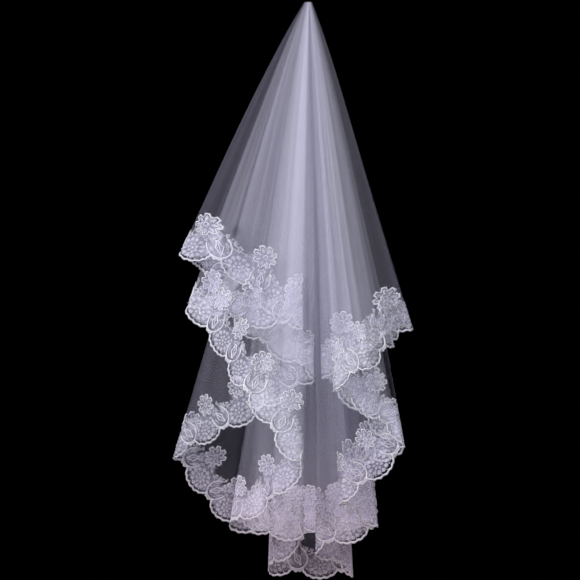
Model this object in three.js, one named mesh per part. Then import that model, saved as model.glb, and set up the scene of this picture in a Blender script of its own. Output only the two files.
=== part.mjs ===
import * as THREE from "three";

// Bridal veil of fine net with a scalloped floral lace border, hung by the middle of its oval.
// Millimetres, Z up, front toward -Y. The origin is the tip that the cloth hangs from.

// Overall form
const RISE = 17;            // the folds aim at a point this far above the tip
const BELL = 0.22;          // the folds leave the tip this much wider than straight lines would
const BELL_FALL = 230;      // and lose that width over this height
const SOLID_TIP = 62;       // the gathered cloth is closed up to this far below the tip
const DEPTH = 1.06;         // stretch of the table's "back" column

// Cloth
const NET_WALL = 1.0;
const NET_WALL_SPREAD = 0.018; // wall thickness per millimetre from the aim point, near the tip
const LACE_WALL = 1.0;
const CLEARANCE = 0.4;      // between the net and the lace that lies over it
const NET_STOP = 14;        // the net ends this far inside the line of the border

// Lace border, along and across the edge
const REPEAT = 80;          // one large and one small scallop
const LARGE_SHARE = 0.76;   // part of the repeat that the large scallop takes
const LARGE_RISE = 17;
const SMALL_RISE = 6;
const SCALLOP_INSET = 10;   // how far the notches lie inside the line of the border
const BAND = 60;            // depth of the border between the flowers
const FLOWER_RISE = 18;     // the flowers stand this much further into the net
const FLOWER_PLACE = 0.6;   // where the flower of a repeat stands, as a part of the repeat
const FLOWER_SPREAD = 0.27; // and how far its rise reaches to each side
const GAP_TOP = 42;         // the cut gaps reach from here
const GAP_FOOT = 16;        // down to here, measured in from the line of the border
const GAPS = [               // where the two cut gaps of a repeat lie, as parts of the repeat
  { from: 0.1, to: 0.3 },
  { from: 0.4, to: 0.62 },
];
const GAP_LEAST = 6;        // a gap narrower than this is left closed
const SLANT_LIMIT = 0.6;    // least cosine used where the edge runs steeply

// Mesh fineness
const ARC_STEP = 1.06;      // radians of a fold's round between two columns
const LEG_STEP = 0.13;      // radians of flat cloth between two columns of the net

// The cloth runs round these folds in turn, seen from above, as a belt runs round pins.
// across, back and round are in thousandths of the distance below the aim point.
// turn is 1 for a fold that points outward and -1 for one that points inward.
// drop is the height of the border line below the tip at that fold.
const FOLDS = [
  { name: "left_top_corner", across: -462, back: 10, round: 16, turn: 1, drop: 438 },
  { name: "left_top_middle", across: -350, back: -8, round: 12, turn: 1, drop: 449 },
  { name: "left_top_inner", across: -22, back: -2, round: 12, turn: -1, drop: 562 },
  { name: "left_front_corner", across: -367, back: -112, round: 14, turn: 1, drop: 532 },
  { name: "left_flap_dip", across: -308, back: -136, round: 12, turn: -1, drop: 568 },
  { name: "left_flap_middle", across: -150, back: -250, round: 16, turn: 1, drop: 676 },
  { name: "left_flap_end", across: -34, back: -236, round: 14, turn: 1, drop: 805 },
  { name: "floor_left_inner", across: -134, back: -146, round: 12, turn: -1, drop: 901 },
  { name: "floor_left_return", across: -22, back: -100, round: 12, turn: 1, drop: 930 },
  { name: "floor_left_edge", across: -62, back: -46, round: 12, turn: -1, drop: 984 },
  { name: "floor_right_edge", across: 70, back: -34, round: 12, turn: -1, drop: 991 },
  { name: "floor_right_return", across: 25, back: -78, round: 12, turn: 1, drop: 948 },
  { name: "right_low_corner", across: 116, back: -93, round: 12, turn: -1, drop: 908 },
  { name: "right_low_inner", across: 72, back: -134, round: 12, turn: 1, drop: 862 },
  { name: "right_low_bend", across: 139, back: -130, round: 12, turn: 1, drop: 818 },
  { name: "right_middle_corner", across: 198, back: -146, round: 12, turn: -1, drop: 764 },
  { name: "right_flap_end", across: 76, back: -214, round: 14, turn: 1, drop: 670 },
  { name: "right_flap_middle", across: 148, back: -275, round: 16, turn: 1, drop: 630 },
  { name: "right_flap_corner", across: 216, back: -208, round: 14, turn: 1, drop: 591 },
  { name: "right_side_dip", across: 238, back: -100, round: 10, turn: -1, drop: 581 },
  { name: "right_top_corner", across: 283, back: 18, round: 16, turn: 1, drop: 563 },
  { name: "right_back_inner", across: 50, back: 32, round: 14, turn: -1, drop: 650 },
  { name: "back_first_right", across: 188, back: 84, round: 14, turn: 1, drop: 776 },
  { name: "back_first_left", across: 78, back: 92, round: 12, turn: -1, drop: 838 },
  { name: "back_second_right", across: 119, back: 136, round: 12, turn: 1, drop: 898 },
  { name: "back_second_left", across: -60, back: 146, round: 12, turn: -1, drop: 924 },
  { name: "back_third_right", across: 100, back: 192, round: 12, turn: 1, drop: 916 },
  { name: "back_third_left", across: -95, back: 200, round: 12, turn: -1, drop: 926 },
  { name: "back_outer_right", across: 72, back: 262, round: 16, turn: 1, drop: 924 },
  { name: "back_outer_left", across: -114, back: 256, round: 20, turn: 1, drop: 924 },
  { name: "left_low_corner", across: -275, back: 214, round: 16, turn: 1, drop: 793 },
  { name: "left_back_inner", across: 0, back: 30, round: 12, turn: -1, drop: 649 },
  { name: "left_back_bend", across: -290, back: 126, round: 30, turn: 1, drop: 522 },
  { name: "left_back_top", across: -387, back: 84, round: 12, turn: 1, drop: 452 },
];

// Plan of the folds at one unit below the aim point: straight runs between rounds.
const pins = FOLDS.map((fold) => ({
  x: fold.across / 1000,
  y: (fold.back * DEPTH) / 1000,
  round: fold.round / 1000,
  turn: fold.turn,
  drop: fold.drop,
}));

const runs = pins.map((pin, i) => {
  const next = pins[(i + 1) % pins.length];
  const dx = next.x - pin.x;
  const dy = next.y - pin.y;
  const far = Math.hypot(dx, dy);
  const lean = -Math.asin((next.round * next.turn - pin.round * pin.turn) / far);
  const ux = (dx * Math.cos(lean) - dy * Math.sin(lean)) / far;
  const uy = (dx * Math.sin(lean) + dy * Math.cos(lean)) / far;
  const from = [pin.x + pin.round * pin.turn * uy, pin.y - pin.round * pin.turn * ux];
  return { ux, uy, from };
});

const plan = [];
const middles = [];
pins.forEach((pin, i) => {
  const into = runs[(i + pins.length - 1) % pins.length];
  const out = runs[i];
  const start = Math.atan2(-into.ux * pin.turn, into.uy * pin.turn);
  let swing = Math.atan2(into.ux * out.uy - into.uy * out.ux, into.ux * out.ux + into.uy * out.uy);
  if (swing * pin.turn < -0.05) {
    swing += 2 * Math.PI * pin.turn;
  }
  const steps = Math.max(1, Math.ceil(Math.abs(swing) / ARC_STEP));
  middles.push(plan.length + steps / 2);
  for (let k = 0; k <= steps; k += 1) {
    const angle = start + (swing * k) / steps;
    plan.push([pin.x + pin.round * Math.cos(angle), pin.y + pin.round * Math.sin(angle)]);
  }
});

// Angle travelled on the flat sheet, seen from the middle of the oval, at each point of the plan.
const directions = plan.map(([x, y]) => new THREE.Vector3(x, y, -1).normalize());
const turns = [0];
directions.forEach((d, i) => {
  turns.push(turns[i] + d.angleTo(directions[(i + 1) % directions.length]));
});
const FULL_TURN = turns[directions.length];

const wrap = (phi) => ((phi % FULL_TURN) + FULL_TURN) % FULL_TURN;

const locate = (phi) => {
  const p = wrap(phi);
  let low = 0;
  let high = directions.length;
  while (high - low > 1) {
    const mid = (low + high) >> 1;
    if (turns[mid] <= p) {
      low = mid;
    } else {
      high = mid;
    }
  }
  return { i: low, share: (p - turns[low]) / (turns[low + 1] - turns[low]) };
};

const slopeAt = (phi) => {
  const { i, share } = locate(phi);
  const [ax, ay] = plan[i];
  const [bx, by] = plan[(i + 1) % plan.length];
  return [ax + (bx - ax) * share, ay + (by - ay) * share];
};

// Distance of the border line from the aim point, smooth from fold to fold.
const knots = pins.map((pin, i) => {
  const low = Math.floor(middles[i]);
  const high = Math.ceil(middles[i]);
  const phi = (turns[low] + turns[high]) / 2;
  const [x, y] = slopeAt(phi);
  return { phi, reach: (pin.drop + RISE) * Math.hypot(x, y, 1) };
});

const knotAt = (k) => {
  const n = knots.length;
  const lap = Math.floor(k / n);
  const knot = knots[k - lap * n];
  return { phi: knot.phi + lap * FULL_TURN, reach: knot.reach };
};

const tangentAt = (k) => {
  const a = knotAt(k - 1);
  const b = knotAt(k);
  const c = knotAt(k + 1);
  const h0 = b.phi - a.phi;
  const h1 = c.phi - b.phi;
  const d0 = (b.reach - a.reach) / h0;
  const d1 = (c.reach - b.reach) / h1;
  if (d0 * d1 <= 0) {
    return 0;
  }
  const w0 = 2 * h1 + h0;
  const w1 = h1 + 2 * h0;
  return (w0 + w1) / (w0 / d0 + w1 / d1);
};

const reachAt = (phi) => {
  let p = wrap(phi);
  if (p < knots[0].phi) {
    p += FULL_TURN;
  }
  let k = 0;
  while (knotAt(k + 1).phi <= p) {
    k += 1;
  }
  const a = knotAt(k);
  const b = knotAt(k + 1);
  const h = b.phi - a.phi;
  const t = (p - a.phi) / h;
  const ease = t * t * (3 - 2 * t);
  const pull = t * (1 - t) * (1 - t) * h * tangentAt(k) - t * t * (1 - t) * h * tangentAt(k + 1);
  return a.reach + (b.reach - a.reach) * ease + pull;
};

// Length along the border line, and the slant of that line against the folds.
const SAMPLES = 3600;
const lengths = [0];
for (let k = 0; k < SAMPLES; k += 1) {
  const a = reachAt((k * FULL_TURN) / SAMPLES);
  const b = reachAt(((k + 1) * FULL_TURN) / SAMPLES);
  const middle = (a + b) / 2;
  lengths.push(lengths[k] + Math.hypot(b - a, (middle * FULL_TURN) / SAMPLES));
}
const EDGE_LENGTH = lengths[SAMPLES];
const REPEATS = Math.round(EDGE_LENGTH / REPEAT);

const lengthAt = (phi) => {
  const place = (wrap(phi) / FULL_TURN) * SAMPLES;
  const k = Math.min(SAMPLES - 1, Math.floor(place));
  return lengths[k] + (lengths[k + 1] - lengths[k]) * (place - k);
};

const turnAtLength = (s) => {
  let low = 0;
  let high = SAMPLES;
  while (high - low > 1) {
    const mid = (low + high) >> 1;
    if (lengths[mid] <= s) {
      low = mid;
    } else {
      high = mid;
    }
  }
  const share = (s - lengths[low]) / (lengths[low + 1] - lengths[low]);
  return ((low + share) * FULL_TURN) / SAMPLES;
};

const slantAt = (phi) => {
  const step = 0.01;
  const rate = (reachAt(phi + step) - reachAt(phi - step)) / (2 * step * reachAt(phi));
  return Math.max(SLANT_LIMIT, 1 / Math.hypot(1, rate));
};

// Height below the tip of a point "inset" inside the border line, measured square to that line.
const dropAt = (phi, inset) => {
  const [x, y] = slopeAt(phi);
  const reach = reachAt(phi) - inset / slantAt(phi);
  return reach / Math.hypot(x, y, 1) - RISE;
};

const arch = (t) => Math.sqrt(Math.max(0, 1 - (2 * t - 1) ** 2));

const scallop = (phase) => {
  if (phase < LARGE_SHARE) {
    return LARGE_RISE * arch(phase / LARGE_SHARE) - SCALLOP_INSET;
  }
  return SMALL_RISE * arch((phase - LARGE_SHARE) / (1 - LARGE_SHARE)) - SCALLOP_INSET;
};

const phaseAt = (phi) => {
  const q = (lengthAt(phi) / EDGE_LENGTH) * REPEATS;
  return q - Math.floor(q);
};

const flowerRise = (phase) => FLOWER_RISE * Math.max(0, 1 - Math.abs(phase - FLOWER_PLACE) / FLOWER_SPREAD);

// Outward offset at a column: square to the two flat faces that meet there.
const offsetAt = (phis, i) => {
  const n = phis.length;
  const direction = (k) => {
    const [x, y] = slopeAt(phis[(k + n) % n]);
    return new THREE.Vector3(x, y, -1);
  };
  const here = direction(i);
  const before = direction(i - 1).cross(here).normalize();
  const after = here.clone().cross(direction(i + 1)).normalize();
  const both = before.clone().add(after).normalize();
  return both.divideScalar(Math.max(0.5, both.dot(after)));
};

// A column is the line of cloth that runs from the tip to the edge at one angle of the sheet.
const makeColumns = (phis) => phis.map((phi, i) => ({
  phi,
  slope: slopeAt(phi),
  offset: offsetAt(phis, i),
}));

const place = (column, drop, out) => {
  const reach = (drop + RISE) * (1 + BELL * Math.exp(-drop / BELL_FALL) * (1 - Math.exp(-drop / 20)));
  return [
    column.slope[0] * reach + column.offset.x * out,
    column.slope[1] * reach + column.offset.y * out,
    -drop + column.offset.z * out * Math.min(1, drop / 30),
  ];
};

// Triangle soup that ends as one indexed closed body.
const newBody = () => ({ points: [], faces: [] });

const addPoint = (body, point) => {
  body.points.push(point);
  return body.points.length - 1;
};

const addQuad = (body, a, b, c, d) => {
  body.faces.push([a, b, c], [a, c, d]);
};

const finish = (body, name, colour, roughness) => {
  const geometry = new THREE.BufferGeometry();
  geometry.setAttribute("position", new THREE.Float32BufferAttribute(body.points.flat(), 3));
  geometry.setIndex(body.faces.flat());
  geometry.computeVertexNormals();
  const material = new THREE.MeshStandardMaterial({ color: colour, roughness, metalness: 0 });
  const mesh = new THREE.Mesh(geometry, material);
  mesh.name = name;
  return mesh;
};

const foldPhis = () => turns.slice(0, directions.length);

const mergePhis = (main, extra, apart) => {
  const all = [...main];
  extra.forEach((phi) => {
    if (main.every((other) => Math.abs(other - phi) > apart && Math.abs(other - phi) < FULL_TURN - apart)) {
      all.push(phi);
    }
  });
  return all.sort((a, b) => a - b);
};

// Net: an outer and an inner skin, closed at the tip, at the ceiling of the hollow and at the edge.
function buildNet() {
  const folds = foldPhis();
  const extra = [];
  folds.forEach((phi, i) => {
    const next = i + 1 < folds.length ? folds[i + 1] : FULL_TURN;
    const pieces = Math.ceil((next - phi) / LEG_STEP);
    for (let k = 1; k < pieces; k += 1) {
      extra.push(phi + ((next - phi) * k) / pieces);
    }
  });
  const columns = makeColumns(mergePhis(folds, extra, 0.001));
  const n = columns.length;
  const body = newBody();
  const upper = [0, 12, 30, SOLID_TIP, 140, 245];
  const wallAt = (drop) => Math.min(NET_WALL, NET_WALL_SPREAD * (drop + RISE)) / 2;
  const skin = (firstRow, side) => {
    const rows = [];
    for (let r = firstRow; r < upper.length + 2; r += 1) {
      rows.push(columns.map((column) => {
        const insets = [BAND + FLOWER_RISE + 12, NET_STOP];
        const drop = r < upper.length ? upper[r] : dropAt(column.phi, insets[r - upper.length]);
        return addPoint(body, place(column, drop, side * wallAt(drop)));
      }));
    }
    for (let r = 0; r + 1 < rows.length; r += 1) {
      for (let i = 0; i < n; i += 1) {
        const j = (i + 1) % n;
        if (side > 0) {
          addQuad(body, rows[r][i], rows[r + 1][i], rows[r + 1][j], rows[r][j]);
        } else {
          addQuad(body, rows[r][i], rows[r][j], rows[r + 1][j], rows[r + 1][i]);
        }
      }
    }
    return rows;
  };
  const outer = skin(0, 1);
  const inner = skin(3, -1);
  const outerEdge = outer[outer.length - 1];
  const innerEdge = inner[inner.length - 1];
  for (let i = 0; i < n; i += 1) {
    const j = (i + 1) % n;
    addQuad(body, outerEdge[i], innerEdge[i], innerEdge[j], outerEdge[j]);
  }
  const closeRow = (row, up) => {
    const contour = row.map((index) => new THREE.Vector2(body.points[index][0], body.points[index][1]));
    THREE.ShapeUtils.triangulateShape(contour, []).forEach(([a, b, c]) => {
      const face = [row[a], row[b], row[c]];
      body.faces.push(up ? face : face.reverse());
    });
  };
  closeRow(outer[0], true);
  closeRow(inner[0], false);
  return finish(body, "tulle_net", 0xb9b8d0, 0.7);
}

// Lace border: a band over the net with a scalloped edge, flower tops and a row of cut gaps.
function buildLace() {
  const folds = foldPhis();
  const marks = [0, GAPS[0].from, GAPS[0].to, GAPS[1].from, GAPS[1].to, LARGE_SHARE, 0.88];
  const extra = [];
  for (let k = 0; k < REPEATS; k += 1) {
    marks.forEach((mark) => extra.push(turnAtLength(((k + mark) * EDGE_LENGTH) / REPEATS)));
  }
  const columns = makeColumns(mergePhis(folds, extra, 0.008));
  const n = columns.length;
  const body = newBody();
  const middle = NET_WALL / 2 + CLEARANCE + LACE_WALL / 2;
  const grid = (side) => {
    const insets = [
      (phase) => BAND + flowerRise(phase),
      () => GAP_TOP,
      () => GAP_FOOT,
      (phase) => -scallop(phase),
    ];
    return insets.map((inset) => columns.map((column) => {
      const drop = dropAt(column.phi, inset(phaseAt(column.phi + 1e-6)));
      return addPoint(body, place(column, drop, middle + (side * LACE_WALL) / 2));
    }));
  };
  const outer = grid(1);
  const inner = grid(-1);
  const gaps = columns.map(() => false);
  for (let i = 1; i + 1 < n; i += 1) {
    const phase = phaseAt(columns[i].phi + 1e-6);
    const width = (columns[i + 1].phi - columns[i].phi) * reachAt(columns[i].phi);
    const starts = GAPS.some((gap) => Math.abs(phase - gap.from) < 0.02);
    gaps[i] = starts && width > GAP_LEAST && !gaps[i - 1];
  }
  for (let i = 0; i < n; i += 1) {
    const j = (i + 1) % n;
    for (let r = 0; r < 3; r += 1) {
      if (r === 1 && gaps[i]) {
        addQuad(body, outer[1][j], outer[1][i], inner[1][i], inner[1][j]);
        addQuad(body, outer[2][i], outer[2][j], inner[2][j], inner[2][i]);
        addQuad(body, outer[2][j], outer[1][j], inner[1][j], inner[2][j]);
        addQuad(body, outer[1][i], outer[2][i], inner[2][i], inner[1][i]);
      } else {
        addQuad(body, outer[r][i], outer[r + 1][i], outer[r + 1][j], outer[r][j]);
        addQuad(body, inner[r][i], inner[r][j], inner[r + 1][j], inner[r + 1][i]);
      }
    }
    addQuad(body, outer[3][i], inner[3][i], inner[3][j], outer[3][j]);
    addQuad(body, outer[0][i], outer[0][j], inner[0][j], inner[0][i]);
  }
  return finish(body, "lace_border", 0xdcdae6, 0.55);
}

const veil = new THREE.Group();
veil.name = "lace_bridal_veil";
veil.add(buildNet());
veil.add(buildLace());

export default veil;
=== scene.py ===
import math
from collections import namedtuple

import bmesh
import bpy
import numpy as np
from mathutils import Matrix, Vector


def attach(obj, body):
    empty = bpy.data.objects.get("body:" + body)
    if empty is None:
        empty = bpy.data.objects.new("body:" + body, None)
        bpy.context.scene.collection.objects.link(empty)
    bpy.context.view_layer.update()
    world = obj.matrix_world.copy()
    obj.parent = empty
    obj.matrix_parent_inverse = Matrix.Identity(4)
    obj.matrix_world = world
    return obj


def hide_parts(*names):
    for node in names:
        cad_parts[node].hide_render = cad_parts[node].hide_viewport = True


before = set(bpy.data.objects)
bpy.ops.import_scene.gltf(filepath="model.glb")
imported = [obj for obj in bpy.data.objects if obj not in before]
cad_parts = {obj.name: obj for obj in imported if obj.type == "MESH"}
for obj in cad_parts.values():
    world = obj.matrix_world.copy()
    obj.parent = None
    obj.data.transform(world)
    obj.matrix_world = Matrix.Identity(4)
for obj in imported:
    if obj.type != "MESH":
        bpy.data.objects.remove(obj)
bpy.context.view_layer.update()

# Sizes of the hung cloth, in millimetres
RISE = 17.0            # the folds aim at a point this far above the tip
BELL = 0.22            # the folds bell out below the tip by a share of their spread, 0.16 at most
BELL_START = 20.0      # height over which the bell opens
BELL_FALL = 230.0      # and over which it fades
DEPTH = 1.06           # stretch of the folds' "back" column
REPEAT = 80.0          # one large and one small scallop
LARGE_SHARE = 0.76     # part of the repeat that the large scallop takes
LARGE_RISE = 17.0
SMALL_RISE = 6.0
SCALLOP_INSET = 10.0   # how far the notches lie inside the line of the border
LACE_DEPTH = 96.0      # the grid of the net turns square to the edge inside this depth

# Small ripples between the main folds: waves round the sheet, size against height, phase
RIPPLES = [
    (37, 0.0034, 0.4),
    (71, 0.0018, 1.9),
    (129, 0.0010, 4.1),
]
RIPPLE_DRIFT = 0.0021  # radians that those waves shift for each millimetre of drop
SWAY_SIZE = 0.003      # one long wave more, which runs down the cloth
SWAY_DOWN = 0.011
SWAY_ROUND = 5
RIPPLE_START = 160.0   # ripples reach their full size at this drop

# Fineness of the curves
ARC_STEP = 0.5         # radians between every other point on the round of a fold, at most
BACK_TURN = 0.05       # a fold turned back by more than this goes the long way round
EDGE_SAMPLES = 6000
SLANT_LENGTH = 90.0    # length of border over which the slant of the edge is evened out
TURN_NUDGE = 0.0008    # steps in turn and reach that show which way the cloth faces
REACH_NUDGE = 1.0

Fold = namedtuple("Fold", "name across back round turn drop cover")

# The cloth runs round these folds in turn, seen from above, as a belt runs round pins.
# across, back and round are in thousandths of the distance below the aim point.
# turn is 1 where the cloth turns left round the fold, seen from above, and -1 where it turns right.
# drop is the height of the border line below the tip at that fold. cover is the share of light
# that the cloth from this fold to the next one stops, more where it lies in small gathers, and set lower on
# the dimly lit right side, a painted shade.
FOLDS = [Fold(*row) for row in (
    ("left_top_corner", -462, 10, 16, 1, 438, 0.05),
    ("left_top_middle", -350, -8, 12, 1, 449, 0.03),
    ("left_top_inner", -22, -2, 12, -1, 562, 0.03),
    ("left_front_corner", -367, -112, 14, 1, 532, 0.11),
    ("left_flap_dip", -308, -136, 12, -1, 568, 0.03),
    ("left_flap_middle", -150, -250, 16, 1, 676, 0.12),
    ("left_flap_end", -34, -236, 14, 1, 805, 0.05),
    ("floor_left_inner", -134, -146, 12, -1, 901, 0.10),
    ("floor_left_return", -22, -100, 12, 1, 930, 0.07),
    ("floor_left_edge", -62, -46, 12, -1, 984, 0.09),
    ("floor_right_edge", 70, -34, 12, -1, 991, 0.08),
    ("floor_right_return", 25, -78, 12, 1, 948, 0.07),
    ("right_low_corner", 116, -93, 12, -1, 908, 0.01),
    ("right_low_inner", 72, -134, 12, 1, 862, 0.01),
    ("right_low_bend", 139, -130, 12, 1, 818, 0.01),
    ("right_middle_corner", 198, -146, 12, -1, 764, 0.01),
    ("right_flap_end", 76, -214, 14, 1, 670, 0.14),
    ("right_flap_middle", 148, -275, 16, 1, 630, 0.16),
    ("right_flap_corner", 216, -208, 14, 1, 591, 0.02),
    ("right_side_dip", 238, -100, 10, -1, 581, 0.02),
    ("right_top_corner", 283, 18, 16, 1, 563, 0.08),
    ("right_back_inner", 50, 32, 14, -1, 650, 0.14),
    ("back_first_right", 188, 84, 14, 1, 776, 0.02),
    ("back_first_left", 78, 92, 12, -1, 838, 0.03),
    ("back_second_right", 119, 136, 12, 1, 898, 0.05),
    ("back_second_left", -60, 146, 12, -1, 924, 0.02),
    ("back_third_right", 100, 192, 12, 1, 916, 0.05),
    ("back_third_left", -95, 200, 12, -1, 926, 0.02),
    ("back_outer_right", 72, 262, 16, 1, 924, 0.12),
    ("back_outer_left", -114, 256, 20, 1, 924, 0.07),
    ("left_low_corner", -275, 214, 16, 1, 793, 0.07),
    ("left_back_inner", 0, 30, 12, -1, 649, 0.17),
    ("left_back_bend", -290, 126, 30, 1, 522, 0.04),
    ("left_back_top", -387, 84, 12, 1, 452, 0.05),
)]


# The folds from above

def fold_plan():
    """The cloth's outline at a height of 1 below the aim point, and which points are the folds' middles."""
    pins = [(f.across / 1000, f.back * DEPTH / 1000, f.round / 1000, f.turn) for f in FOLDS]
    runs = []
    for i, (x, y, r, turn) in enumerate(pins):
        nx, ny, nr, nturn = pins[(i + 1) % len(pins)]
        far = math.hypot(nx - x, ny - y)
        lean = -math.asin((nr * nturn - r * turn) / far)
        ux = ((nx - x) * math.cos(lean) - (ny - y) * math.sin(lean)) / far
        uy = ((nx - x) * math.sin(lean) + (ny - y) * math.cos(lean)) / far
        runs.append((ux, uy))
    plan, middles = [], []
    for i, (x, y, r, turn) in enumerate(pins):
        ax, ay = runs[i - 1]
        bx, by = runs[i]
        start = math.atan2(-ax * turn, ay * turn)
        swing = math.atan2(ax * by - ay * bx, ax * bx + ay * by)
        if swing * turn < -BACK_TURN:
            swing += 2 * math.pi * turn
        steps = max(2, 2 * math.ceil(abs(swing) / ARC_STEP))
        middles.append(len(plan) + steps // 2)
        for k in range(steps + 1):
            angle = start + swing * k / steps
            plan.append((x + r * math.cos(angle), y + r * math.sin(angle)))
    return np.array(plan), middles


PLAN, MIDDLES = fold_plan()
AIM = np.c_[PLAN, -np.ones(len(PLAN))]
AIM /= np.linalg.norm(AIM, axis=1)[:, None]
STEPS = np.arccos(np.clip((AIM * np.roll(AIM, -1, axis=0)).sum(axis=1), -1, 1))
TURNS = np.r_[0, np.cumsum(STEPS)]
FULL_TURN = TURNS[-1]
FOLD_TURNS = TURNS[MIDDLES]
PLAN_LOOP = np.r_[PLAN, PLAN[:1]]
RUN = np.roll(PLAN, -1, axis=0) - np.roll(PLAN, 1, axis=0)
OUTWARD = np.c_[RUN[:, 1], -RUN[:, 0]] / np.linalg.norm(RUN, axis=1)[:, None]
OUTWARD_LOOP = np.r_[OUTWARD, OUTWARD[:1]]


def slopes(phi):
    """How far across and back the cloth runs, at a turn of the sheet, for each 1 that it falls."""
    p = np.mod(phi, FULL_TURN)
    return np.interp(p, TURNS, PLAN_LOOP[:, 0]), np.interp(p, TURNS, PLAN_LOOP[:, 1])


def edge_reach():
    """Distance from the aim point to the border line at even steps of the turn, smooth between folds."""
    length = np.hypot(np.hypot(PLAN[MIDDLES, 0], PLAN[MIDDLES, 1]), 1)
    reach = (np.array([fold.drop for fold in FOLDS], float) + RISE) * length
    x = np.r_[FOLD_TURNS[-2:] - FULL_TURN, FOLD_TURNS, FOLD_TURNS[:3] + FULL_TURN]
    y = np.r_[reach[-2:], reach, reach[:3]]
    h = np.diff(x)
    rate = np.diff(y) / h
    w0, w1 = 2 * h[1:] + h[:-1], h[1:] + 2 * h[:-1]
    same = rate[1:] * rate[:-1] > 0
    tangent = np.zeros(len(x))
    safe = np.where(same, rate[:-1], 1), np.where(same, rate[1:], 1)
    tangent[1:-1] = np.where(same, (w0 + w1) / (w0 / safe[0] + w1 / safe[1]), 0)
    at = np.linspace(0, FULL_TURN, EDGE_SAMPLES + 1)
    k = np.clip(np.searchsorted(x, at, side="right") - 1, 0, len(x) - 2)
    t = (at - x[k]) / h[k]
    ease = t * t * (3 - 2 * t)
    pull = t * (1 - t) * h[k] * ((1 - t) * tangent[k] - t * tangent[k + 1])
    return at, y[k] + (y[k + 1] - y[k]) * ease + pull


EDGE_TURN, EDGE_REACH = edge_reach()
MIDDLE_REACH = (EDGE_REACH[1:] + EDGE_REACH[:-1]) / 2
EDGE_STEP = np.hypot(np.diff(EDGE_REACH), MIDDLE_REACH * np.diff(EDGE_TURN))
EDGE_LENGTH_AT = np.r_[0, np.cumsum(EDGE_STEP)]
EDGE_LENGTH = EDGE_LENGTH_AT[-1]
REPEATS = round(EDGE_LENGTH / REPEAT)
STRETCH = EDGE_LENGTH / REPEATS / REPEAT


def smooth_loop(values, width):
    """Evens out values given at even steps of the turn, over about this length of border."""
    half = int(width / EDGE_LENGTH * EDGE_SAMPLES / 2)
    window = np.hanning(2 * half + 1)
    window /= window.sum()
    loop = values[:-1]
    padded = np.r_[loop[-half:], loop, loop[:half]]
    out = np.convolve(padded, window, mode="valid")
    return np.r_[out, out[:1]]


EDGE_SLANT = smooth_loop(np.gradient(EDGE_REACH, EDGE_TURN) / EDGE_REACH, SLANT_LENGTH)


def cloth_point(phi, reach):
    """Place in space of a point of the sheet, given as a turn and a distance from the aim point."""
    x, y = slopes(phi)
    p = np.mod(phi, FULL_TURN)
    nx = np.interp(p, TURNS, OUTWARD_LOOP[:, 0])
    ny = np.interp(p, TURNS, OUTWARD_LOOP[:, 1])
    height = reach / np.sqrt(x * x + y * y + 1)
    drop = height - RISE
    ripple = 0
    for waves, size, phase in RIPPLES:
        turned = waves * 2 * np.pi * p / FULL_TURN + phase + drop * RIPPLE_DRIFT
        ripple = ripple + size * np.sin(turned)
    ripple = ripple + SWAY_SIZE * np.sin(drop * SWAY_DOWN + p * SWAY_ROUND)
    ripple = ripple * np.clip(drop / RIPPLE_START, 0, 1)
    ripple = ripple * height
    fall = np.clip(drop, 0, None)
    spread = 1 + BELL * np.exp(-fall / BELL_FALL) * (1 - np.exp(-fall / BELL_START))
    across = x * height * spread + nx * ripple
    back = y * height * spread + ny * ripple
    return np.stack([across, back, -drop], axis=-1)


def cloth_lifted(phi, reach, lift):
    """The same, lifted square off the cloth."""
    here = cloth_point(phi, reach)
    along = cloth_point(phi + TURN_NUDGE, reach) - cloth_point(phi - TURN_NUDGE, reach)
    down = cloth_point(phi, reach + REACH_NUDGE) - cloth_point(phi, reach - REACH_NUDGE)
    normal = np.cross(down, along)
    normal /= np.maximum(np.linalg.norm(normal, axis=-1), 1e-9)[..., None]
    return here + normal * np.asarray(lift)[..., None]


def border_flat(length, inset):
    """Turn and reach of a point of the sheet at a length along the border line, an inset square to it."""
    s = np.mod(length, EDGE_LENGTH)
    phi = np.interp(s, EDGE_LENGTH_AT, EDGE_TURN)
    reach = np.interp(s, EDGE_LENGTH_AT, EDGE_REACH)
    slant = np.interp(s, EDGE_LENGTH_AT, EDGE_SLANT)
    size = np.hypot(1, slant)
    inward_r, inward_t = -inset / size, inset * slant / size
    radial = reach + inward_r
    return phi + np.arctan2(inward_t, radial), np.hypot(radial, inward_t)


def scallop_arch(share):
    """Half an ellipse, 1 high in its middle, over a share of the way along from 0 to 1."""
    return np.sqrt(np.clip(1 - (2 * share - 1) ** 2, 0, 1))


def scallop(phase):
    """How far the edge stands out past the line of the border, at a part of the repeat."""
    large = LARGE_RISE * scallop_arch(phase / LARGE_SHARE)
    small = SMALL_RISE * scallop_arch((phase - LARGE_SHARE) / (1 - LARGE_SHARE))
    return np.where(phase < LARGE_SHARE, large, small) - SCALLOP_INSET


def repeat_phases(large_steps, small_steps):
    """Parts of the repeat at which the outline turns evenly, closest together near the notches."""
    large = LARGE_SHARE / 2 * (1 - np.cos(np.pi * np.arange(large_steps) / large_steps))
    small = (1 - LARGE_SHARE) / 2 * (1 - np.cos(np.pi * np.arange(small_steps) / small_steps))
    return np.r_[large, LARGE_SHARE + small]


# Building blocks

def mesh_object(name, points, faces):
    """A smooth piece from points in millimetres."""
    mesh = bpy.data.meshes.new(name)
    mesh.from_pydata(np.asarray(points, float) / 1000, [], faces)
    mesh.validate()
    mesh.update()
    piece = bpy.data.objects.new(name, mesh)
    bpy.context.scene.collection.objects.link(piece)
    mesh.polygons.foreach_set("use_smooth", [True] * len(mesh.polygons))
    mesh.update()
    return piece


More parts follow.
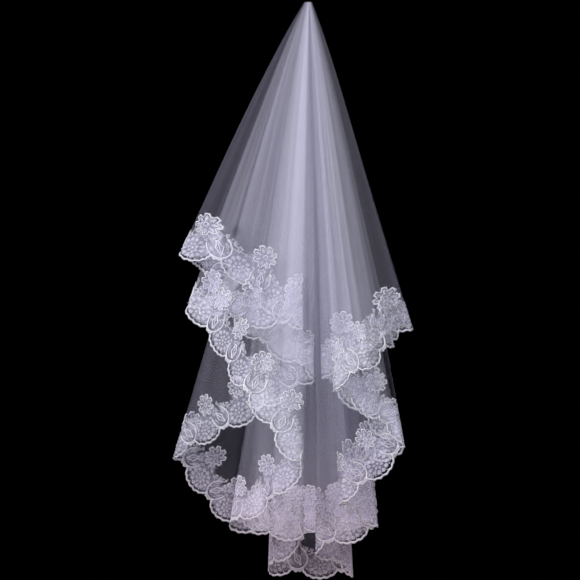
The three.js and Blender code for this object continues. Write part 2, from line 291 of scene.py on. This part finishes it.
def start_flat_motif(name, points, width, length, place):
    """A filled disc in the flat, sized and placed in millimetres, left in edit mode with all selected."""
    bpy.ops.object.select_all(action="DESELECT")
    bpy.ops.mesh.primitive_circle_add(vertices=points, radius=1, fill_type="NGON")
    piece = bpy.context.object
    piece.name = name
    bpy.ops.object.mode_set(mode="EDIT")
    bpy.ops.mesh.select_all(action="SELECT")
    bpy.ops.transform.resize(value=(width / 2, length / 2, 1))
    bpy.ops.transform.translate(value=(place[0], place[1], 0))
    return piece


def pick_points(piece, wanted):
    """Selects the points whose place is wanted, and no others."""
    shape = bmesh.from_edit_mesh(piece.data)
    for vert in shape.verts:
        vert.select = bool(wanted(vert.co))
    shape.select_flush_mode()
    bmesh.update_edit_mesh(piece.data)


def finish_flat_motif(piece):
    """Takes the points and faces out of a motif that is still in edit mode."""
    bpy.ops.object.mode_set(mode="OBJECT")
    count = len(piece.data.vertices)
    points = np.empty(count * 3)
    piece.data.vertices.foreach_get("co", points)
    faces = [tuple(face.vertices) for face in piece.data.polygons]
    bpy.data.objects.remove(piece)
    return points.reshape(-1, 3), faces


Petal = namedtuple("Petal", "count inner outer width cord rise tip")

# Petals, in millimetres: how many stand in the wheel, how far from its middle they start and end,
# their width, the width of the cord round them, their thickness, and what is left of the width at the tip
PETALS = {
    "lobe_petals": Petal(12, 10.2, 17.2, 6.4, 1.2, 1.1, 0.95),
    "lobe_ring": Petal(7, 3.6, 9.4, 4.6, 0.9, 1.2, 0.9),
    "lobe_heart": Petal(1, -2.6, 2.6, 5.2, 1.0, 1.5, 1.0),
    "lobe_leaf": Petal(1, 0.0, 9.0, 4.8, 1.2, 1.0, 0.4),
    "bowl_almond": Petal(1, -13.4, 12.6, 13.2, 1.3, 1.3, 0.6),
    "bowl_leaf": Petal(1, 0.0, 19.0, 5.6, 1.4, 1.0, 0.5),
    "bowl_tuft": Petal(1, 0.0, 8.5, 4.8, 1.1, 1.0, 0.5),
    "flower_petals": Petal(8, 5.4, 16.6, 5.8, 1.2, 1.0, 0.7),
    "spray_leaf": Petal(1, 0.0, 10.5, 5.2, 1.2, 1.0, 0.4),
    "spray_bud": Petal(5, 1.0, 5.4, 3.6, 0.9, 1.2, 0.9),
}
PETAL_POINTS = 12
TIP_PART = 0.72        # the tip begins this far along a petal
FOOT_PART = 0.3        # and the foot ends here
FOOT_WIDTH = 0.6       # what is left of the width at the foot


def petal_wheel(name, open_middle=False):
    """A wheel of petals in the flat, each a rounded or pointed loop of cord, filled unless left open."""
    form = PETALS[name]
    length = form.outer - form.inner
    petal = start_flat_motif(name, PETAL_POINTS, form.width, length, (0, (form.inner + form.outer) / 2))
    top = form.inner + length * TIP_PART
    pick_points(petal, lambda co: co.y > top)
    bpy.ops.transform.resize(value=(form.tip, 1, 1), center_override=(0, form.outer, 0))
    low = form.inner + length * FOOT_PART
    pick_points(petal, lambda co: co.y < low)
    bpy.ops.transform.resize(value=(FOOT_WIDTH, 1, 1), center_override=(0, form.inner, 0))
    bpy.ops.mesh.select_all(action="SELECT")
    bpy.ops.mesh.inset(thickness=form.cord, depth=0)
    if open_middle:
        bpy.ops.mesh.delete(type="FACE")
    bpy.ops.mesh.select_all(action="SELECT")
    bpy.ops.mesh.extrude_region_move(TRANSFORM_OT_translate={"value": (0, 0, form.rise)})
    bpy.ops.mesh.select_all(action="SELECT")
    bpy.ops.mesh.normals_make_consistent(inside=False)
    if form.count > 1:
        steps = form.count - 1
        last = 2 * math.pi * steps / form.count
        bpy.ops.mesh.spin(steps=steps, dupli=True, angle=last, center=(0, 0, 0), axis=(0, 0, 1))
    return finish_flat_motif(petal)


def moved(motif, across=0, inset=0, turn=0, size=1, squash=1, lift=0):
    """A motif squashed, sized and turned about its own origin, then put at its place on the repeat."""
    points, faces = motif
    c, s = math.cos(turn), math.sin(turn)
    x, y = points[:, 0] * size, points[:, 1] * size * squash
    out = np.stack([x * c - y * s + across, x * s + y * c + inset, points[:, 2] + lift], axis=1)
    return out, faces


def cord_line(path, half_width, rise, closed=False, lift=0.1):
    """A raised thread along a flat path, with a three-cornered section."""
    path = np.asarray(path, float)
    if closed:
        ahead, behind = np.roll(path, -1, axis=0), np.roll(path, 1, axis=0)
    else:
        ahead, behind = np.r_[path[1:], path[-1:]], np.r_[path[:1], path[:-1]]
    run = ahead - behind
    run /= np.maximum(np.linalg.norm(run, axis=1), 1e-9)[:, None]
    side = np.c_[-run[:, 1], run[:, 0]] * np.broadcast_to(half_width, len(path))[:, None]
    low = np.full(len(path), lift)
    points = np.concatenate([
        np.c_[path - side, low],
        np.c_[path + side, low],
        np.c_[path, low + rise],
    ])
    n = len(path)
    faces = []
    for i in range(n if closed else n - 1):
        j = (i + 1) % n
        faces.append((i, j, n + j, n + i))
        faces.append((n + i, n + j, 2 * n + j, 2 * n + i))
        faces.append((2 * n + i, 2 * n + j, j, i))
    if not closed:
        faces.append((0, n, 2 * n))
        faces.append((n - 1, 3 * n - 1, 2 * n - 1))
    return points, faces


def together(motifs):
    """Several motifs as one."""
    points, faces, count = [], [], 0
    for part_points, part_faces in motifs:
        points.append(part_points)
        faces += [tuple(v + count for v in face) for face in part_faces]
        count += len(part_points)
    return np.concatenate(points), faces


def lay_on_border(name, motif, seed=0, wander=0.0, lean=0.0):
    """Copies a flat motif along the whole border. Its x runs along the edge and its y into the net."""
    points, faces = motif
    chance = np.random.default_rng(seed)
    middle = points[:, :2].mean(axis=0)
    placed = []
    for k in range(REPEATS):
        angle = chance.normal() * lean
        shift = chance.normal(size=2) * wander
        c, s = math.cos(angle), math.sin(angle)
        rel = points[:, :2] - middle
        x = rel[:, 0] * c - rel[:, 1] * s + middle[0] + shift[0]
        y = rel[:, 0] * s + rel[:, 1] * c + middle[1] + shift[1]
        phi, reach = border_flat((k * REPEAT + x) * STRETCH, y)
        placed.append(cloth_lifted(phi, reach, points[:, 2]))
    starts = [len(points) * k for k in range(REPEATS)]
    every = [tuple(v + start for v in face) for start in starts for face in faces]
    return mesh_object(name, np.concatenate(placed), every)


# Net: one sheet from the tip to the scalloped edge

TIP_ROWS = [0.0, 0.006, 0.014, 0.026, 0.045, 0.07, 0.1]   # parts of the way from the tip to the lace
LOWER_ROWS = np.linspace(0.14, 1, 22)
BAND_ROWS = 14          # rows across the lace, from its top to the edge
GROUND_DEPTH = 40.0     # the lace's fine ground reaches this far in from the border line
GROUND_RISE = 36.0      # and this much further under the flower
GROUND_FADE = 9.0
FLOWER_PHASE = 0.6      # where the flower stands in the repeat, and how far it spreads
FLOWER_SPREAD = 0.36
CREASE_WIDTH = 0.006    # radians


def fold_closeness(phi, width):
    """1 on the middle of a fold, falling to 0 at a few widths from it."""
    away = np.mod(phi[:, None] - FOLD_TURNS[None, :] + FULL_TURN / 2, FULL_TURN) - FULL_TURN / 2
    return np.exp(-(away / width) ** 2).max(axis=1)


def fold_density_and_shade(phi):
    """Share of light that the cloth stops at each turn of the sheet, set low where the veil lies in less
    light, a painted shade.
    """
    fold = np.searchsorted(FOLD_TURNS, np.mod(phi, FULL_TURN), side="right") - 1
    return np.array([row.cover for row in FOLDS])[fold]


def net_grid():
    """The net's points: length along the border, phase, turn, reach and way from the edge, row by row."""
    phases = repeat_phases(18, 8)
    phase = np.tile(phases, REPEATS)
    length = (np.repeat(np.arange(REPEATS), len(phases)) + phase) * REPEAT * STRETCH
    edge_inset = -scallop(phase)
    phi_top, reach_top = border_flat(length, np.full(len(phase), LACE_DEPTH))
    phis, reaches, from_edge = [], [], []
    slope_x, slope_y = slopes(phi_top)
    first = RISE * np.sqrt(slope_x ** 2 + slope_y ** 2 + 1)
    for share in np.r_[TIP_ROWS, LOWER_ROWS]:
        phis.append(phi_top)
        reaches.append(first + (reach_top - first) * share)
        from_edge.append(LACE_DEPTH - edge_inset + (reach_top - first) * (1 - share))
    for row in range(1, BAND_ROWS + 1):
        inset = LACE_DEPTH + (edge_inset - LACE_DEPTH) * row / BAND_ROWS
        phi, reach = border_flat(length, inset)
        phis.append(phi)
        reaches.append(reach)
        from_edge.append(inset - edge_inset)
    return length, phase, np.array(phis), np.array(reaches), np.array(from_edge)


def lace_ground_share(phase, from_edge):
    """1 where the lace's fine ground lies and 0 above it, with the ground highest under the flower."""
    inset = from_edge - scallop(phase)
    rise = np.cos(np.clip((phase - FLOWER_PHASE) / FLOWER_SPREAD, -1, 1) * np.pi / 2) ** 2
    return np.clip((GROUND_DEPTH + GROUND_RISE * rise - inset) / GROUND_FADE, 0, 1)


def add_map(piece, name, corner_values):
    layer = piece.data.uv_layers.new(name=name)
    layer.data.foreach_set("uv", corner_values.ravel())


def add_point_value(piece, name, values):
    layer = piece.data.attributes.new(name, "FLOAT", "POINT")
    layer.data.foreach_set("value", values.ravel())


def build_net():
    """The whole sheet, with maps of the flat sheet, of its fall and of its border, in metres and radians."""
    length, phase, phis, reaches, from_edge = net_grid()
    rows, columns = phis.shape
    faces = []
    for r in range(rows - 1):
        for i in range(columns):
            j = (i + 1) % columns
            faces.append((r * columns + i, (r + 1) * columns + i, (r + 1) * columns + j, r * columns + j))
    faces.append(tuple(range(columns)))
    net = mesh_object("veil_net", cloth_point(phis, reaches).reshape(-1, 3), faces)

    corners = np.empty(len(net.data.loops), int)
    net.data.loops.foreach_get("vertex_index", corners)
    closing = np.zeros(len(corners), bool)
    for k in range(columns - 1, (rows - 1) * columns, columns):
        closing[4 * k:4 * k + 4] = True
    past_the_join = closing & (corners % columns == 0)
    flat = np.stack([reaches * np.cos(phis), reaches * np.sin(phis)], axis=-1).reshape(-1, 2) / 1000
    add_map(net, "sheet", flat[corners])
    fall = np.stack([phis, reaches / 1000], axis=-1).reshape(-1, 2)[corners]
    fall[past_the_join, 0] += FULL_TURN
    add_map(net, "fall", fall)
    along = np.broadcast_to(length, from_edge.shape)
    border = np.stack([along, from_edge], axis=-1).reshape(-1, 2)[corners] / 1000
    border[past_the_join, 0] += EDGE_LENGTH / 1000
    add_map(net, "border", border)

    add_point_value(net, "lace_area", lace_ground_share(phase, from_edge))
    add_point_value(net, "crease", fold_closeness(phis.ravel(), CREASE_WIDTH))
    # each fold's cover, partly the cloth's density and partly a painted shade where less light falls
    add_point_value(net, "net_cover_and_shade", fold_density_and_shade(phis))
    return net


# Lace motifs, drawn once in the flat over one repeat of the border, in millimetres.
# The large scallop spans 0 to 61 along the edge. The flower stands over its far side, at 48.

FLOWER = (48, 59)
FLOWER_TURN = 0.15
LOBE = (30.4, 15.5)
BOWL = (70, 25)
BOWL_LEAN = math.radians(33)
CORD_HALF_WIDTH = 1.85
CORD_SWELL = 0.35       # the cord's half width varies by this
SWELL_STEP = 1.7
CRIMP_DEPTH = 0.95      # the cord winds to each side by this
CRIMP_STEP = 1.45
EDGE_CORD_RISE = 1.7


def edge_cords():
    """The scallops' outline cord, which runs in small crimps."""
    phase = np.r_[repeat_phases(32, 14), 1]
    run = np.arange(len(phase))
    inset = -scallop(phase) + CRIMP_DEPTH * np.sin(run * CRIMP_STEP)
    inset[[0, -1]] = SCALLOP_INSET
    half_width = CORD_HALF_WIDTH + CORD_SWELL * np.sin(run * SWELL_STEP)
    return cord_line(np.c_[phase * REPEAT, inset], half_width, EDGE_CORD_RISE)


def lobe_motif():
    """A rosette of small filled petals, with short leaves at the sides and over it."""
    parts = [
        moved(petal_wheel("lobe_petals"), *LOBE, turn=0.1, size=1.24, squash=0.84),
        moved(petal_wheel("lobe_ring"), *LOBE, turn=0.4, size=1.18, squash=0.87),
        moved(petal_wheel("lobe_heart"), *LOBE),
    ]
    leaf = petal_wheel("lobe_leaf")
    for across, inset, turn in (
        (6.5, 17, 2.7),
        (8, 25, 2.2),
        (54.5, 13, 3.5),
        (53, 24, 3.9),
        (17, 33, 0.6),
        (27, 35, 0.1),
    ):
        parts.append(moved(leaf, across, inset, turn))
    return together(parts)


def bowl_point(across, along):
    """A point of the bowl, from its middle: across it, and along it toward the flower."""
    c, s = math.cos(BOWL_LEAN), math.sin(BOWL_LEAN)
    return BOWL[0] + across * c - along * s, BOWL[1] + across * s + along * c


def bowl_path(radius, side, steps, narrow=0.8, waist=0.96):
    """A round bottom and two sides that draw together, in the flat."""
    path = [(-radius * narrow, side), (-radius * waist, side / 2)]
    for k in range(steps + 1):
        turn = math.pi * k / steps
        path.append((-radius * math.cos(turn), -radius * math.sin(turn)))
    path += [(radius * waist, side / 2), (radius * narrow, side)]
    return np.array([bowl_point(*point) for point in path])


def bowl_cord_motif():
    """The bowl's outline and, inside it, an almond leaf with its vein."""
    return together([
        cord_line(bowl_path(radius=18.0, side=13, steps=12), half_width=1.6, rise=1.6),
        moved(petal_wheel("bowl_almond", open_middle=True), *bowl_point(0, 0), turn=BOWL_LEAN),
        cord_line([bowl_point(0, along) for along in (-10, -4, 2, 8)], half_width=0.75, rise=1.2),
    ])


def bowl_leaf_motif():
    """A narrow leaf on each side of the almond, and short ones on the bowl's rim."""
    parts = []
    side_leaf = petal_wheel("bowl_leaf")
    for across, along, turn in ((-11.0, -7.0, 0.12), (11.0, -7.0, -0.12)):
        parts.append(moved(side_leaf, *bowl_point(across, along), turn=BOWL_LEAN + turn))
    tuft = petal_wheel("bowl_tuft")
    for across, along, turn in (
        (-12, 13.5, 0.5),
        (-5, 11, 0.15),
        (5, 11, -0.2),
        (13, 13.5, -0.6),
        (20, 4, -1.0),
    ):
        parts.append(moved(tuft, *bowl_point(across, along), turn=BOWL_LEAN + turn))
    return together(parts)


def star_path(tips, outer, inner, tip_width):
    """A zigzag star with blunt tips, and the share of the way out at each of its points."""
    path, share_out = [], []
    for k in range(tips):
        turn = 2 * math.pi * k / tips
        step = math.pi / tips
        for share, radius in ((-1.0, inner), (-tip_width, outer), (tip_width, outer)):
            path.append((radius * math.sin(turn + share * step), radius * math.cos(turn + share * step)))
            share_out.append((radius - inner) / (outer - inner))
    return np.array(path), np.array(share_out)


def ring_path(radius, points):
    turns = np.radians(360 * np.arange(points) / points)
    return radius * np.c_[np.cos(turns), np.sin(turns)]


def star_outline_motif():
    """The flower's outline, thicker at the petals' tips, and a ring in its middle."""
    outline, share_out = star_path(tips=8, outer=18.9, inner=12.6, tip_width=0.36)
    return moved(together([
        cord_line(outline, half_width=1.35 + 0.55 * share_out, rise=1.6, closed=True),
        cord_line(ring_path(radius=3.6, points=10), half_width=0.9, rise=1.6, closed=True),
    ]), *FLOWER, turn=FLOWER_TURN)


def flower_heart_motif():
    """A long filled petal under each tip of the star."""
    return moved(petal_wheel("flower_petals"), *FLOWER, turn=FLOWER_TURN)


def spray_motif():
    """Leaves and buds along a stem, between the scallops and the net."""
    parts = []
    leaf = petal_wheel("spray_leaf")
    for across, inset, degrees, size in (
        (4, 30, 10, 0.9),
        (9, 38, 45, 0.9),
        (-2, 38, -12, 0.9),
        (19, 41, 70, 0.8),
        (30, 45, -60, 0.85),
        (38, 36, -20, 0.9),
        (63, 45, 30, 0.8),
        (70, 47, -35, 0.8),
    ):
        parts.append(moved(leaf, across, inset, math.radians(degrees), size))
    stem = [(-6, 34), (2, 33), (12, 34.5), (22, 38), (31, 41), (38, 45)]
    parts.append(cord_line(stem, half_width=1.1, rise=1.1))
    bud = petal_wheel("spray_bud")
    for across, inset in ((14, 40), (1, 44), (62, 37)):
        parts.append(moved(bud, across, inset, turn=0.3))
    return together(parts)


def seed_bead():
    """One small round bead, a little flat where it lies on the lace."""
    bpy.ops.object.select_all(action="DESELECT")
    bpy.ops.mesh.primitive_ico_sphere_add(subdivisions=1, radius=1)
    bead = bpy.context.object
    bead.name = "seed_bead_start"
    bpy.ops.object.mode_set(mode="EDIT")
    bpy.ops.mesh.select_all(action="SELECT")
    bpy.ops.transform.resize(value=(0.95, 0.95, 0.75))
    pick_points(bead, lambda co: co.z < -0.4)
    bpy.ops.transform.resize(value=(1, 1, 0.6), center_override=(0, 0, 0))
    return finish_flat_motif(bead)


def seed_bead_motif():
    """The beads of one repeat: on the flower's petals, round the lobe, in the bowl and in the hearts."""
    bead = seed_bead()
    places = [(FLOWER[0] + 0.1, FLOWER[1]), LOBE]
    for k in range(8):
        turn = 2 * math.pi * (k + 0.19) / 8
        places.append((FLOWER[0] + 15 * math.sin(turn), FLOWER[1] + 15 * math.cos(turn)))
    for k in range(6):
        turn = math.radians(200 + 28 * k)
        places.append((LOBE[0] + 24.5 * math.cos(turn), LOBE[1] + 18.8 * math.sin(turn)))
    for across, along in ((0, -10.8), (0, 0), (0, 6), (-15.7, 4), (15.7, 4)):
        places.append(bowl_point(across, along))
    return together([moved(bead, x, y, lift=1.5) for x, y in places])


# Nodes

def add_node(tree, kind, inputs, **settings):
    """A new node. Each input is given a plain value, or another node's output to read."""
    node = tree.nodes.new(kind)
    for name, value in settings.items():
        setattr(node, name, value)
    for name, source in inputs.items():
        if isinstance(source, bpy.types.NodeSocket):
            tree.links.new(source, node.inputs[name])
        else:
            node.inputs[name].default_value = source
    return node


def map_read(tree, name):
    return add_node(tree, "ShaderNodeUVMap", {}, uv_map=name).outputs["UV"]


def point_value(tree, name):
    return add_node(tree, "ShaderNodeAttribute", {}, attribute_name=name).outputs["Fac"]


def multiply(tree, first, second):
    return add_node(tree, "ShaderNodeMath", {0: first, 1: second}, operation="MULTIPLY").outputs["Value"]


def multiply_add(tree, first, second, added):
    inputs = {0: first, 1: second, 2: added}
    return add_node(tree, "ShaderNodeMath", inputs, operation="MULTIPLY_ADD").outputs["Value"]


def map_range(tree, value, low, high, to_low=0.0, to_high=1.0):
    inputs = {"Value": value, "From Min": low, "From Max": high, "To Min": to_low, "To Max": to_high}
    return add_node(tree, "ShaderNodeMapRange", inputs).outputs["Result"]


def multiply_colour(tree, colour, tint, share):
    """The colour times the tint, as far as the share of it says."""
    inputs = {"A": colour, "B": (*tint, 1), "Factor": share}
    mix = add_node(tree, "ShaderNodeMix", inputs, data_type="RGBA", blend_type="MULTIPLY")
    return mix.outputs["Result"]


def colour_ramp(tree, value, stops):
    """The colour for a value, between stops given from low to high, each a place and a colour."""
    ramp = add_node(tree, "ShaderNodeValToRGB", {"Fac": value})
    elements = ramp.color_ramp.elements
    for place, _ in stops[1:-1]:
        elements.new(place)
    for element, (place, colour) in zip(elements, stops):
        element.position = place
        element.color = (*colour, 1)
    return ramp.outputs["Color"]


# Materials

WARM_START = -0.74      # heights in metres between which the cool white turns warmer, a painted warm light toward the hem
WARM_END = -0.98
PAINTED_WARM_LIGHT_TINT = (1.0, 0.86, 0.87)
# a painted cool blue light on the thin, dim parts of the net
PAINTED_COOL_LIGHT_TINT = (0.97, 0.93, 1.06)
NET_CELLS = 620         # cells of the net in a metre
STITCH_CELLS = 190      # and of the lace's fine ground
BARE_STRIP = (0.0042, 0.0075)   # the ground begins between these distances from the edge, in metres
GATHER_SCALE = (30, 1.2, 1)
CREASE_COVER = 0.06     # share of light that a fold's crease stops besides


def new_material(name):
    material = bpy.data.materials.new(name)
    material.use_nodes = True
    tree = material.node_tree
    return material, tree, tree.nodes["Principled BSDF"]


def finish_shader(shader, values):
    for name, value in values.items():
        shader.inputs[name].default_value = value


def painted_warm_light_group():
    """Paints a warm light onto a cool white toward the hem, by the height on the veil."""
    group = bpy.data.node_groups.new("painted_warm_light_tone", "ShaderNodeTree")
    group.interface.new_socket(name="Color", in_out="INPUT", socket_type="NodeSocketColor")
    group.interface.new_socket(name="Color", in_out="OUTPUT", socket_type="NodeSocketColor")
    start = group.nodes.new("NodeGroupInput")
    end = group.nodes.new("NodeGroupOutput")
    place = add_node(group, "ShaderNodeTexCoord", {})
    split = add_node(group, "ShaderNodeSeparateXYZ", {"Vector": place.outputs["Object"]})
    # painted warm light: the lower the point, the warmer its white
    lowness = map_range(group, split.outputs["Z"], WARM_START, WARM_END)
    warmer = multiply_colour(group, start.outputs["Color"], PAINTED_WARM_LIGHT_TINT, lowness)
    group.links.new(warmer, end.inputs["Color"])
    return group


PAINTED_WARM_LIGHT = painted_warm_light_group()


def with_painted_warm_light(tree, colour, target):
    """Links a colour to its target through the painted warm light toward the hem."""
    tone = add_node(tree, "ShaderNodeGroup", {}, node_tree=PAINTED_WARM_LIGHT)
    tree.links.new(colour, tone.inputs["Color"])
    tree.links.new(tone.outputs["Color"], target)


def net_colour(tree):
    """Pale threads round small cells, with a painted cool blue light where the cloth lies thin and dim."""
    inputs = {"Vector": map_read(tree, "sheet"), "Scale": NET_CELLS}
    cells = add_node(tree, "ShaderNodeTexVoronoi", inputs, feature="DISTANCE_TO_EDGE")
    threads = colour_ramp(tree, cells.outputs["Distance"], [
        (0.0, (0.84, 0.83, 0.96)),
        (0.25, (0.70, 0.69, 0.85)),
    ])
    painted_cool_light_share = map_range(tree, point_value(tree, "net_cover_and_shade"), 0.12, 0.02)
    return multiply_colour(tree, threads, PAINTED_COOL_LIGHT_TINT, painted_cool_light_share)


def gathered_cover(tree):
    """Fine gathers run from the tip to the edge, and the cloth looks denser on each fold."""
    inputs = {"Vector": map_read(tree, "fall"), "Scale": GATHER_SCALE}
    long_way = add_node(tree, "ShaderNodeMapping", inputs)
    inputs = {"Vector": long_way.outputs["Vector"], "Scale": 1.0, "Detail": 3, "Roughness": 0.65}
    gathers = add_node(tree, "ShaderNodeTexNoise", inputs)
    unevenness = map_range(tree, gathers.outputs["Fac"], 0.3, 0.7, 0.65, 1.35)
    gathered = multiply(tree, point_value(tree, "net_cover_and_shade"), unevenness)
    return multiply_add(tree, point_value(tree, "crease"), CREASE_COVER, gathered)


def with_lace_ground(tree, net_cover_and_shade):
    """Adds the fine threads that fill the embroidered area, but for a bare strip inside the cord."""
    border = map_read(tree, "border")
    split = add_node(tree, "ShaderNodeSeparateXYZ", {"Vector": border})
    past_strip = map_range(tree, split.outputs["Y"], *BARE_STRIP)
    inputs = {"Vector": border, "Scale": STITCH_CELLS}
    stitches = add_node(tree, "ShaderNodeTexVoronoi", inputs, feature="DISTANCE_TO_EDGE")
    threads = colour_ramp(tree, stitches.outputs["Distance"], [
        (0.0, (0.13, 0.13, 0.13)),
        (0.12, (0.30, 0.30, 0.30)),
        (0.24, (0.26, 0.26, 0.26)),
        (0.42, (0.18, 0.18, 0.18)),
    ])
    inside = multiply(tree, point_value(tree, "lace_area"), past_strip)
    return multiply_add(tree, inside, threads, net_cover_and_shade)


def net_material():
    """Fine net, which lets most of the light through, with the lace's ground along its border."""
    material, tree, shader = new_material("fine_net")
    with_painted_warm_light(tree, net_colour(tree), shader.inputs["Base Color"])
    cover = with_lace_ground(tree, gathered_cover(tree))
    tree.links.new(cover, shader.inputs["Alpha"])
    finish_shader(shader, {
        "Roughness": 0.55,
        "Sheen Weight": 0.4,
        "Sheen Roughness": 0.4,
        "Sheen Tint": (0.86, 0.87, 1.0, 1),
    })
    return material


def thread_material(name, dark, light, cover=1.0):
    """Embroidery thread. Cover is the share of light that a loosely filled petal stops."""
    material, tree, shader = new_material(name)
    place = add_node(tree, "ShaderNodeTexCoord", {}).outputs["Object"]
    inputs = {"Vector": place, "Scale": 260, "Distortion": 6, "Detail": 1}
    twist = add_node(tree, "ShaderNodeTexWave", inputs)
    cloud = add_node(tree, "ShaderNodeTexNoise", {"Vector": place, "Scale": 70})
    colour = colour_ramp(tree, cloud.outputs["Fac"], [(0.3, dark), (0.7, light)])
    with_painted_warm_light(tree, colour, shader.inputs["Base Color"])
    inputs = {"Height": twist.outputs["Fac"], "Strength": 0.35, "Distance": 0.0004}
    bump = add_node(tree, "ShaderNodeBump", inputs)
    tree.links.new(bump.outputs["Normal"], shader.inputs["Normal"])
    if cover < 1:
        gaps = map_range(tree, twist.outputs["Fac"], 0.2, 0.8, cover * 0.7, cover * 1.3)
        tree.links.new(gaps, shader.inputs["Alpha"])
    finish_shader(shader, {"Roughness": 0.42, "Sheen Weight": 0.4, "Sheen Roughness": 0.35})
    return material


def bead_material():
    material, tree, shader = new_material("pearl_seed")
    place = add_node(tree, "ShaderNodeTexCoord", {}).outputs["Object"]
    cloud = add_node(tree, "ShaderNodeTexNoise", {"Vector": place, "Scale": 45})
    colour = colour_ramp(tree, cloud.outputs["Fac"], [
        (0.0, (0.84, 0.82, 0.90)),
        (1.0, (0.95, 0.93, 0.97)),
    ])
    with_painted_warm_light(tree, colour, shader.inputs["Base Color"])
    finish_shader(shader, {"Roughness": 0.16, "Coat Weight": 0.5})
    return material


def floor_material():
    material, tree, shader = new_material("pale_floor")
    noise = add_node(tree, "ShaderNodeTexNoise", {"Scale": 3})
    colour = colour_ramp(tree, noise.outputs["Fac"], [
        (0.0, (0.66, 0.66, 0.67)),
        (1.0, (0.72, 0.72, 0.73)),
    ])
    tree.links.new(colour, shader.inputs["Base Color"])
    finish_shader(shader, {"Roughness": 0.8})
    return material


def dress(piece, material):
    piece.data.materials.clear()
    piece.data.materials.append(material)
    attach(piece, "root")


# The veil

net = build_net()
edging = lay_on_border("scallop_cord", edge_cords())
lobes = lay_on_border("lobe_rosettes", lobe_motif(), seed=3, wander=0.4, lean=0.04)
bowls = lay_on_border("bowl_cords", bowl_cord_motif())
bowl_leaves = lay_on_border("bowl_leaves", bowl_leaf_motif())
flowers = lay_on_border("star_flowers", star_outline_motif(), seed=5, wander=1.2, lean=0.16)
hearts = lay_on_border("flower_hearts", flower_heart_motif(), seed=5, wander=1.2, lean=0.16)
sprays = lay_on_border("leaf_sprays", spray_motif(), seed=6, wander=0.7, lean=0.04)
beads = lay_on_border("seed_beads", seed_bead_motif())

bright_cord = thread_material("bright_cord", (0.66, 0.65, 0.73), (0.84, 0.83, 0.90))
soft_stitch = thread_material("soft_stitch", (0.70, 0.69, 0.79), (0.92, 0.91, 0.98), cover=0.36)
dress(net, net_material())
for piece in (edging, bowls, flowers):
    dress(piece, bright_cord)
for piece in (lobes, bowl_leaves, hearts, sprays):
    dress(piece, soft_stitch)
dress(beads, bead_material())
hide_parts("tulle_net")
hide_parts("lace_border")


# Floor, lights and camera, in metres

FLOOR_HEIGHT = -1.4
FLOOR_RADIUS = 1.6

# name, place, the point that it faces, size, watts and colour
SOFT_LIGHTS = [
    ("key_softbox", (-1.05, -1.5, 0.25), (0, 0, -0.5), 1.1, 42, (0.96, 0.96, 1.0)),
    ("fill_softbox", (1.4, -1.7, 0.9), (0, 0, -0.15), 1.4, 24, (0.93, 0.94, 1.0)),
    ("rear_softbox", (0.2, 2.3, 0.7), (0, 0, -0.3), 1.6, 30, (0.92, 0.93, 1.0)),
]

PICTURE_SIZE = 580      # pixels
TIP_PIXEL = (309, 2)    # where the veil's tip is in the picture
PIXEL = 1 / 575         # the veil's drop of 1 metre is this many pixels high
SENSOR = 36
CAMERA_DISTANCE = 8.0
TRANSPARENT_LAYERS = 64


def add_floor():
    bpy.ops.object.select_all(action="DESELECT")
    place = (0, 0, FLOOR_HEIGHT)
    bpy.ops.mesh.primitive_circle_add(vertices=64, radius=FLOOR_RADIUS, fill_type="NGON", location=place)
    floor = bpy.context.object
    floor.name = "studio_floor"
    floor.data.materials.append(floor_material())


def add_dark_studio():
    """No light comes from the surroundings."""
    world = bpy.data.worlds.new("dark_studio")
    bpy.context.scene.world = world
    world.use_nodes = True
    world.node_tree.nodes["Background"].inputs["Strength"].default_value = 0.0


def add_soft_light(name, place, aim, size, power, colour):
    light = bpy.data.lights.new(name, "AREA")
    light.shape = "SQUARE"
    light.size = size
    light.energy = power
    light.color = colour
    lamp = bpy.data.objects.new(name, light)
    bpy.context.scene.collection.objects.link(lamp)
    lamp.location = place
    lamp.rotation_euler = (Vector(aim) - Vector(place)).to_track_quat("-Z", "Y").to_euler()


def add_camera():
    """Looks level from the front, with the veil's tip at its pixel."""
    camera_data = bpy.data.cameras.new("photo_camera")
    camera = bpy.data.objects.new("photo_camera", camera_data)
    bpy.context.scene.collection.objects.link(camera)
    middle = PICTURE_SIZE / 2
    across = (middle - TIP_PIXEL[0]) * PIXEL
    height = (TIP_PIXEL[1] - middle) * PIXEL
    camera.location = (across, -CAMERA_DISTANCE, height)
    camera.rotation_euler = (math.radians(90), 0, 0)
    camera_data.sensor_width = SENSOR
    camera_data.lens = SENSOR * CAMERA_DISTANCE / (PICTURE_SIZE * PIXEL)
    camera_data.clip_end = 50
    bpy.context.scene.camera = camera


add_floor()
add_dark_studio()
for row in SOFT_LIGHTS:
    add_soft_light(*row)
add_camera()
bpy.context.scene.view_settings.view_transform = "Standard"
bpy.context.scene.cycles.transparent_max_bounces = TRANSPARENT_LAYERS
